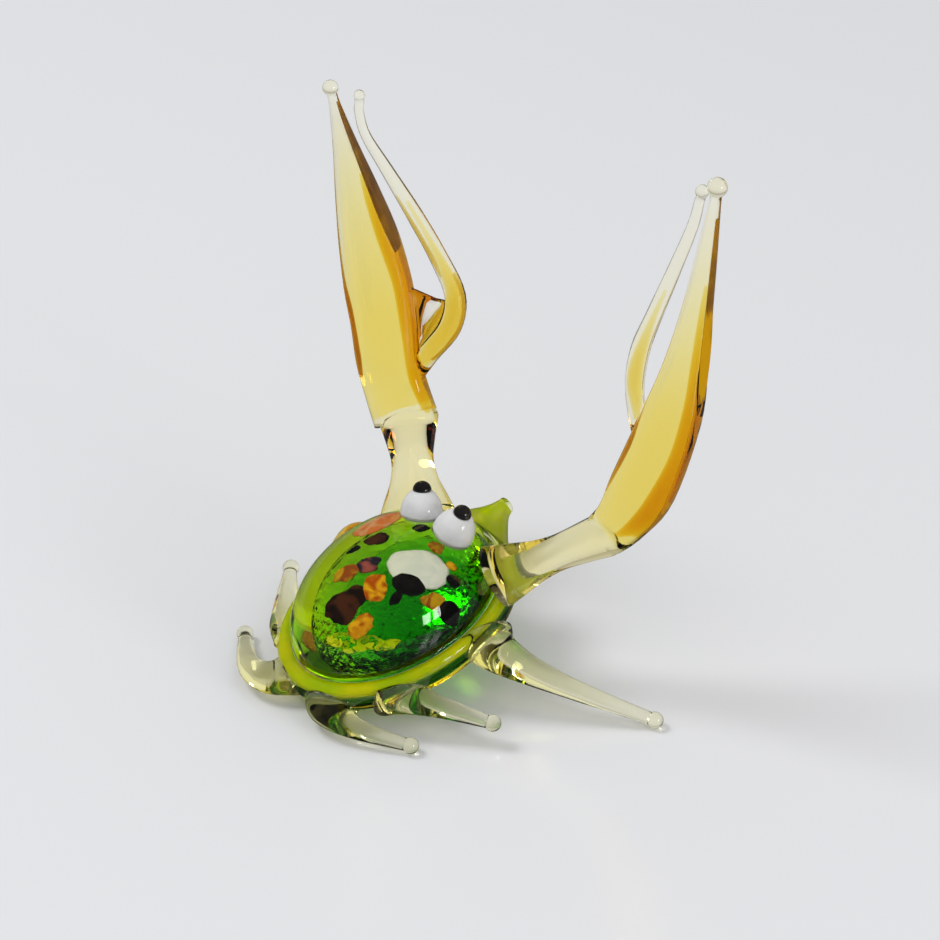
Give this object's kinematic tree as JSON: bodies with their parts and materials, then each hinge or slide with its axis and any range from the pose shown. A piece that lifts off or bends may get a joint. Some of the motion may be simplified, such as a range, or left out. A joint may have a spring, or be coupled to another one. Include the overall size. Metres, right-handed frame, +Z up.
{
  "type": "crab figurine",
  "caption": "Torch-made glass crab figurine with a green domed body, stalked eyes, drawn legs with ball feet and two tall raised claws",
  "frame": {"origin": "centre of the bounding box's bottom, on the table that the feet stand on", "axes": "+Z up; the snout points to -Y; the crab's own left is +X"},
  "size_m": [0.0819, 0.0628, 0.0947],
  "materials": {
    "clear_straw_glass": "Clear pale straw soda-lime glass, drawn and pressed hot",
    "lime_glass": "Clear yellow-green soda-lime glass",
    "green_glass": "Clear deep green soda-lime glass",
    "white_glass": "Opaque white soda-lime glass",
    "black_glass": "Opaque black soda-lime glass",
    "brown_glass": "Opaque dark red-brown glass chip",
    "orange_glass": "Opaque orange glass chip",
    "amber_glass": "Clear amber glass chip",
    "coral_glass": "Opaque coral pink glass chip",
    "slate_glass": "Opaque grey-blue glass chip"
  },
  "bodies": {
    "root": {"body_core": "green_glass", "body_gather": "green_glass", "body_casing": "lime_glass", "frit_black": "black_glass", "frit_slate": "slate_glass", "frit_white": "white_glass", "frit_brown": "brown_glass", "frit_orange": "orange_glass", "frit_amber": "amber_glass", "frit_coral": "coral_glass", "snout": "lime_glass", "left_eye_white": "white_glass", "left_eye_pupil": "black_glass", "right_eye_white": "white_glass", "right_eye_pupil": "black_glass", "left_claw_arm": "clear_straw_glass", "right_claw_arm": "clear_straw_glass", "left_claw_palm": "clear_straw_glass", "right_claw_palm": "clear_straw_glass", "left_claw_finger": "clear_straw_glass", "right_claw_finger": "clear_straw_glass", "left_claw_web": "clear_straw_glass", "left_front_leg": "clear_straw_glass", "left_middle_leg": "clear_straw_glass", "left_rear_leg": "clear_straw_glass", "right_front_leg": "clear_straw_glass", "right_middle_leg": "clear_straw_glass", "right_rear_leg": "clear_straw_glass"}
  },
  "joints": []
}
